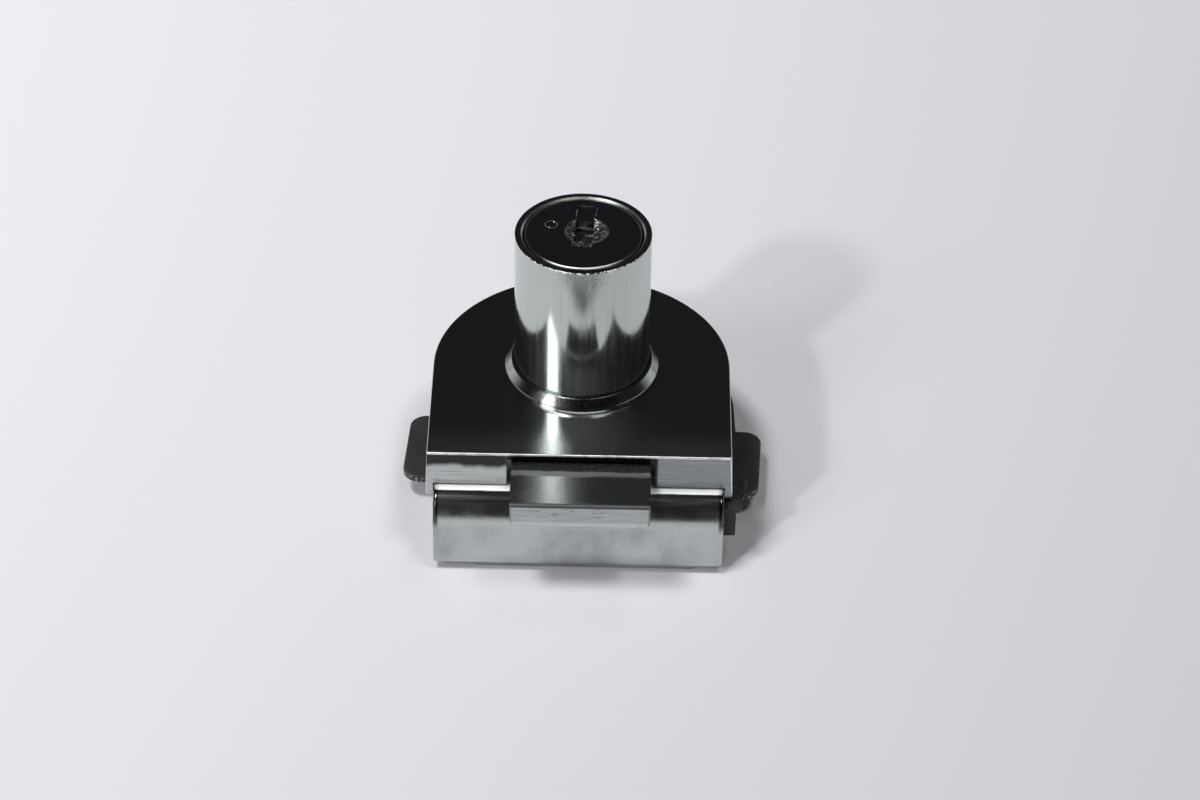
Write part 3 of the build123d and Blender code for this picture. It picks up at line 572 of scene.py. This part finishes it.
def bolt_chrome():
    """The bolt: satin on top with a painted shadow band by the cover and a painted highlight band
    before it, filed on its front end, with short scratches, a painted highlight on the lip at its
    foot and painted shade along its edges."""
    shader = chrome("bolt_chrome", BOLT_PLATING, 0.24, grain=(0.3, 1.0, 1.0), grain_scale=900.0,
                    spread=0.05, streaks=0.04, clouds=0.10)
    low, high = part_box("bolt")
    middle = (low.x + high.x) / 2
    half_width = (high.x - low.x) / 2
    y = shader.axis("Y")
    z = shader.axis("Z")
    front = shader.ramp(y, low.y + 0.5 * MM, low.y + 0.2 * MM)
    front_marks = shader.noise(shader.place((0.08, 1.0, 1.0)), 3000.0, detail=5.0, roughness=0.7)
    slanted = shader.place((0.12, 1.0, 1.0), turn=(0.0, 0.05, 0.0))
    cuts = shader.noise(slanted, 1900.0, distortion=0.6)
    patches = shader.noise(shader.place((0.6, 1.0, 1.0)), 160.0, roughness=0.5)
    lip_highlight = shader.both(shader.ramp(y, low.y + 1.2 * MM, low.y + 0.8 * MM),
                      shader.ramp(z, low.z + 1.3 * MM, low.z + 0.9 * MM))
    scratched = shader.both(shader.ramp(cuts, 0.58, 0.63), shader.ramp(patches, 0.46, 0.56))
    shader.paint(front, BOLT_FRONT)
    shader.paint(shader.both(front, shader.ramp(front_marks, 0.4, 0.75)), BOLT_FILED)
    # A painted highlight on the lip at the foot of the front end
    shader.paint(lip_highlight, BOLT_LIP_HIGHLIGHT)
    shader.paint(shader.both(front, scratched), BOLT_CUTS)

    # Painted shade along the underside and the flanks near the front end
    underside = shader.both(shader.ramp(z, low.z + 0.32 * MM, low.z + 0.18 * MM),
                            shader.ramp(y, high.y, low.y))
    flanks = shader.ramp(shader.aside("X", middle), half_width - 0.45 * MM, half_width - 0.1 * MM)
    outline = shader.either(underside, shader.faint(flanks, 0.7))
    by_front = shader.ramp(y, low.y + 1.3 * MM, low.y + 1.1 * MM)
    shader.paint(shader.both(by_front, outline), BOLT_OUTLINE_SHADE)
    shader.roughen(shader.both(front, shader.ramp(front_marks, 0.3, 0.7, 0.08, 0.2)))
    brow = shader.both(shader.ramp(y, low.y + 0.7 * MM, low.y + 0.4 * MM),
                       shader.ramp(z, high.z - 0.6 * MM, high.z - 0.4 * MM))
    shader.paint(brow, BOLT_BROW)
    shader.roughen(shader.faint(brow, 0.25))

    specks = shader.noise(shader.place((0.5, 1.0, 1.0)), 6500.0, detail=4.0, roughness=0.7)
    wavy = shader.noise(shader.place((0.5, 1.0, 1.0)), 500.0)
    back = shader.waver(y, wavy, 0.12 * MM)
    on_top = shader.ramp(z, high.z - 0.4 * MM, high.z - 0.2 * MM)
    # On top: a painted shadow band next to the cover and a painted highlight band before it
    dark = shader.both(on_top, shader.ramp(back, FRONT_Y - 2.2 * MM, FRONT_Y - 1.8 * MM))
    light = shader.both(on_top, shader.ramp(back, FRONT_Y - 3.4 * MM, FRONT_Y - 2.9 * MM),
                        shader.ramp(back, FRONT_Y - 1.8 * MM, FRONT_Y - 2.2 * MM))
    shader.paint(light, BOLT_BAND_HIGHLIGHT)
    shader.paint(dark, BOLT_BACK_SHADOW)
    shader.paint(shader.both(dark, shader.ramp(specks, 0.50, 0.66)), BOLT_SPECKS)
    rough_band = shader.math("ADD", dark, light)
    shader.roughen(shader.both(rough_band, shader.ramp(specks, 0.35, 0.65, 0.12, 0.34)))
    shader.bump(shader.both(dark, specks), 0.03 * MM, 0.5)
    return shader.material


def clamp_chrome():
    """The clamp: a painted highlight along its top edge that fades to the right and at both ends,
    painted shade on its ends, a mottled bend and a satin upright face with soft clouds."""
    shader = chrome("clamp_chrome", CLAMP_PLATING, 0.11, grain=LINES_ALONG_X, grain_scale=2000.0,
                    spread=0.2, streaks=0.04, clouds=0.0)
    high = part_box("clamp")[1]
    x = shader.axis("X")
    z = shader.axis("Z")
    breakup_noise = shader.noise(shader.place((0.2, 1.0, 1.0)), 900.0)
    height = shader.waver(z, breakup_noise, 0.02 * MM)
    edge_highlight = shader.ramp(height, high.z - 0.36 * MM, high.z - 0.28 * MM)
    ends = shader.ramp(shader.aside("X"), high.x - 1.0 * MM, high.x - 0.6 * MM)
    to_the_right = shader.ramp(x, 0.0, 10.0 * MM, 1.0, 0.8)
    fading = shader.math("SUBTRACT", to_the_right, shader.faint(ends, 0.6))
    # A painted highlight along the top edge
    shader.paint(shader.both(edge_highlight, fading), CLAMP_EDGE_HIGHLIGHT)
    shader.roughen(shader.faint(edge_highlight, 0.5))
    below_edge = shader.ramp(z, high.z - 0.1 * MM, high.z - 0.5 * MM)
    # Painted shade on the ends below the top edge
    shader.paint(shader.both(ends, below_edge), CLAMP_ENDS_SHADE)

    mottle = shader.noise(shader.place((1.0, 1.0, 0.6)), 130.0, detail=5.0)
    bend = shader.both(shader.ramp(z, high.z - 6.2 * MM, high.z - 4.8 * MM),
                       shader.ramp(z, high.z - 0.8 * MM, high.z - 3.0 * MM))
    shader.roughen(shader.both(bend, shader.ramp(mottle, 0.35, 0.65, 0.10, 0.22)))
    face = shader.ramp(z, high.z - 4.0 * MM, high.z - 6.0 * MM)
    shader.paint(face, CLAMP_FACE)
    shader.paint(shader.both(face, shader.ramp(mottle, 0.38, 0.72, 0.0, 0.85)), CLAMP_CLOUDS)
    shader.roughen(shader.both(face, shader.ramp(mottle, 0.35, 0.65, 0.04, 0.12)))
    grains = shader.noise(shader.place((0.6, 1.0, 1.0)), 2600.0, detail=4.0, roughness=0.7)
    shader.bump(shader.both(face, grains), 0.014 * MM, 0.5)
    return shader.material


def black_paint(name, color, node):
    """Dark coated steel, with pale specks under the top edge of the node that wears it."""
    shader = Shader(name, color, 0.5, 0.0)
    shader.set(shader.surface, "Specular IOR Level", 0.35)
    fine = shader.noise(shader.place(), 1500.0, detail=5.0, roughness=0.65)
    broad = shader.noise(shader.place(), 160.0, roughness=0.5)
    shader.paint(shader.ramp(broad, 0.35, 0.7, 0.0, 0.5), shade(color, 1.5))
    shader.paint(shader.ramp(fine, 0.5, 0.8, 0.0, 0.5), shade(color, 1.7))
    shader.roughen(shader.ramp(fine, 0.3, 0.75, 0.42, 0.62))
    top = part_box(node)[1].z
    side = shader.ramp(shader.axis("Z"), top - 0.18 * MM, top - 0.30 * MM)
    speck_noise = shader.noise(shader.place(), 2100.0, detail=4.0, roughness=0.7)
    shader.paint(shader.both(side, shader.ramp(speck_noise, 0.56, 0.62)), PLATE_PALE_SPECKS)
    shader.bump(fine, 0.01 * MM)
    return shader.material


def rubber(name):
    """Matt rubber with fine grains and a little dust."""
    shader = Shader(name, RUBBER_BLACK, 0.6, 0.0)
    grains = shader.noise(shader.place(), 2600.0, detail=5.0)
    dust = shader.noise(shader.place(), 500.0, detail=5.0, roughness=0.7)
    shader.bump(grains, 0.06 * MM, 0.6)
    shader.paint(shader.ramp(dust, 0.5, 0.8), RUBBER_DUST)
    shader.roughen(shader.ramp(grains, 0.3, 0.7, 0.5, 0.7))
    return shader.material


def turned_metal(name, color, roughness):
    """Machined metal with fine rings about the vertical axis, for its piece to add to."""
    shader = Shader(name, color, roughness)
    rings = shader.noise(shader.place((1.0, 1.0, 12.0)), 900.0)
    shader.roughen(shader.ramp(rings, 0.35, 0.7, roughness * 0.8, roughness * 1.4))
    shader.paint(shader.ramp(rings, 0.4, 0.8), shade(color, 0.75))
    shader.bump(rings, 0.004 * MM)
    return shader


def core_brass():
    """Turned brass, painted dark as shade at its end, which shows in the ring round the plug."""
    shader = turned_metal("core_brass", CORE_BRASS, 0.3)
    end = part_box("cylinder_core")[1].z
    # Painted shade at the end that shows in the ring round the plug
    shader.paint(shader.ramp(shader.axis("Z"), end - 0.6 * MM, end - 0.3 * MM), CORE_END_SHADE)
    return shader.material


def shutter_steel():
    """Dull brown steel with a painted highlight on its near edge."""
    shader = turned_metal("shutter_steel", SHUTTER_STEEL, 0.42)
    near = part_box("key_shutter")[0].y
    stains = shader.noise(shader.place((1.0, 0.4, 1.0)), 1500.0, detail=4.0, roughness=0.65)
    shader.paint(shader.ramp(stains, 0.4, 0.7, 0.0, 0.7), SHUTTER_STAINS)
    # A painted highlight on the near edge
    shader.paint(shader.ramp(shader.axis("Y"), near + 0.6 * MM, near + 0.3 * MM), SHUTTER_EDGE_HIGHLIGHT)
    return shader.material


def blackened_steel(name, color, roughness):
    """Black oxide on steel, worn pale in patches."""
    shader = Shader(name, color, roughness)
    breakup_noise = shader.noise(shader.place(), 700.0, detail=5.0, roughness=0.65)
    shader.paint(shader.ramp(breakup_noise, 0.5, 0.75), shade(color, 2.2))
    shader.roughen(shader.ramp(breakup_noise, 0.3, 0.75, roughness * 0.8, roughness * 1.3))
    shader.bump(breakup_noise, 0.01 * MM)
    return shader.material


def make_finishes():
    """Every material slot of the record, on the CAD nodes that name it."""
    slots = {
        "cover_chrome": cover_chrome(),
        "collar_chrome": collar_chrome(),
        "barrel_chrome": barrel_chrome(),
        "plug_chrome": plug_chrome(),
        "bolt_chrome": bolt_chrome(),
        "clamp_chrome": clamp_chrome(),
        "plate_steel": black_paint("plate_steel", PLATE_BLACK, "pressure_plate"),
        "core_brass": core_brass(),
        "pin_brass": turned_metal("pin_brass", PIN_BRASS, 0.3).material,
        "cam_steel": turned_metal("cam_steel", CAM_STEEL, 0.3).material,
        "shutter_steel": shutter_steel(),
        "spring_steel": turned_metal("spring_steel", SPRING_STEEL, 0.25).material,
        "screw_steel": turned_metal("screw_steel", SCREW_STEEL, 0.3).material,
        "screw_black": blackened_steel("screw_black", SCREW_BLACK, 0.4),
        "rubber_black": rubber("rubber_black"),
    }
    for part in frame["record"]["subparts"]:
        for slot in nodes[part["node"]].material_slots:
            slot.material = slots[part["material_slot"]]


def make_torn_rubber():
    """The liner's ragged corner: a thin lip that bulges out from under the cover's right edge."""
    picker = random.Random(TORN_SEED)
    rows = []
    for i in range(TORN_STEPS + 1):
        t = i / TORN_STEPS
        y = TORN_START - TORN_LENGTH * t
        arch = math.sin(math.pi * t)
        deeper = TORN_RAG if i % TORN_RAG_EVERY == TORN_RAG_FIRST else 0.0
        tear = picker.uniform(-TORN_TEAR, TORN_TEAR) + deeper
        # The tears die out over the first and the last sixth of the length
        fade = min(1.0, 6 * t, 6 * (1 - t))
        out = TORN_OUTER_X - TORN_TAPER * t * t + TORN_BULGE * arch ** 0.8 + tear * fade
        sag = TORN_SAG * arch + picker.uniform(-TORN_WAVE, TORN_WAVE)
        # The section: inner top, shoulder, tip, underside and inner foot
        rows.append([
            (TORN_INNER_X, y, TORN_TOP_Z),
            (out - 0.5, y, TORN_TOP_Z + 0.08 - 0.25 * sag),
            (out, y + tear, TORN_TOP_Z - 0.25 - 0.6 * sag),
            (out - 0.25, y - tear, TORN_FOOT_Z + 0.05 - sag),
            (TORN_INNER_X, y, TORN_FOOT_Z - 0.4 * sag),
        ])
    points = [[c * MM for c in point] for row in rows for point in row]
    corners = len(rows[0])
    faces = []
    for i in range(TORN_STEPS):
        for k in range(corners):
            a = i * corners + k
            b = i * corners + (k + 1) % corners
            faces.append((a, b, b + corners, a + corners))
    faces.append(tuple(range(corners - 1, -1, -1)))
    faces.append(tuple(TORN_STEPS * corners + k for k in range(corners)))
    mesh = bpy.data.meshes.new("torn_rubber")
    mesh.from_pydata(points, [], faces)
    piece = bpy.data.objects.new("torn_rubber", mesh)
    scene.collection.objects.link(piece)
    mesh.materials.append(rubber("torn_rubber_black"))
    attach(piece, "lock_body")


def make_floor():
    """Matt paper under the lock, with painted shade that makes it brighter at the left back."""
    half = FLOOR_HALF
    corners = [(-half, -half, 0), (half, -half, 0), (half, half, 0), (-half, half, 0)]
    mesh = bpy.data.meshes.new("floor")
    mesh.from_pydata(corners, [], [(0, 1, 2, 3)])
    floor = bpy.data.objects.new("floor", mesh)
    scene.collection.objects.link(floor)
    shader = Shader("floor_paper", FLOOR_BRIGHT, 0.9, 0.0)
    shader.set(shader.surface, "Specular IOR Level", 0.0)
    along = shader.math("ADD", shader.math("MULTIPLY", shader.axis("X"), FLOOR_FALL[0]),
                        shader.math("MULTIPLY", shader.axis("Y"), FLOOR_FALL[1]))
    fall = shader.tree.nodes.new("ShaderNodeMapRange")
    shader.set(fall, "From Min", -FLOOR_REACH)
    shader.set(fall, "From Max", FLOOR_REACH)
    shader.link(along, fall, "Value")
    # Painted shade: the colour falls off towards the right front
    shader.paint(fall.outputs["Result"], FLOOR_PAINTED_SHADE)
    mesh.materials.append(shader.material)


def make_world():
    """A dark room with a pale band at the horizon, which is lower in front."""
    world = bpy.data.worlds.new("room")
    scene.world = world
    world.use_nodes = True
    tree = world.node_tree
    coordinates = tree.nodes.new("ShaderNodeTexCoord")
    split = tree.nodes.new("ShaderNodeSeparateXYZ")
    ahead = tree.nodes.new("ShaderNodeMapRange")
    height = tree.nodes.new("ShaderNodeMath")
    ramp = tree.nodes.new("ShaderNodeValToRGB")
    ahead.interpolation_type = "SMOOTHSTEP"
    ahead.inputs["From Min"].default_value, ahead.inputs["From Max"].default_value = ROOM_AHEAD
    ahead.inputs["To Max"].default_value = ROOM_LIFT
    pale, dark = ramp.color_ramp.elements
    pale.position, pale.color = ROOM_PALE_TO, (*ROOM_PALE, 1.0)
    dark.position, dark.color = ROOM_DARK_FROM, (*ROOM_DARK, 1.0)
    tree.links.new(coordinates.outputs["Generated"], split.inputs["Vector"])
    tree.links.new(split.outputs["Y"], ahead.inputs["Value"])
    tree.links.new(split.outputs["Z"], height.inputs[0])
    tree.links.new(ahead.outputs["Result"], height.inputs[1])
    tree.links.new(height.outputs["Value"], ramp.inputs["Fac"])
    tree.links.new(ramp.outputs["Color"], tree.nodes["Background"].inputs["Color"])


make_camera()
make_lights()
make_world()
make_floor()
make_finishes()
make_torn_rubber()
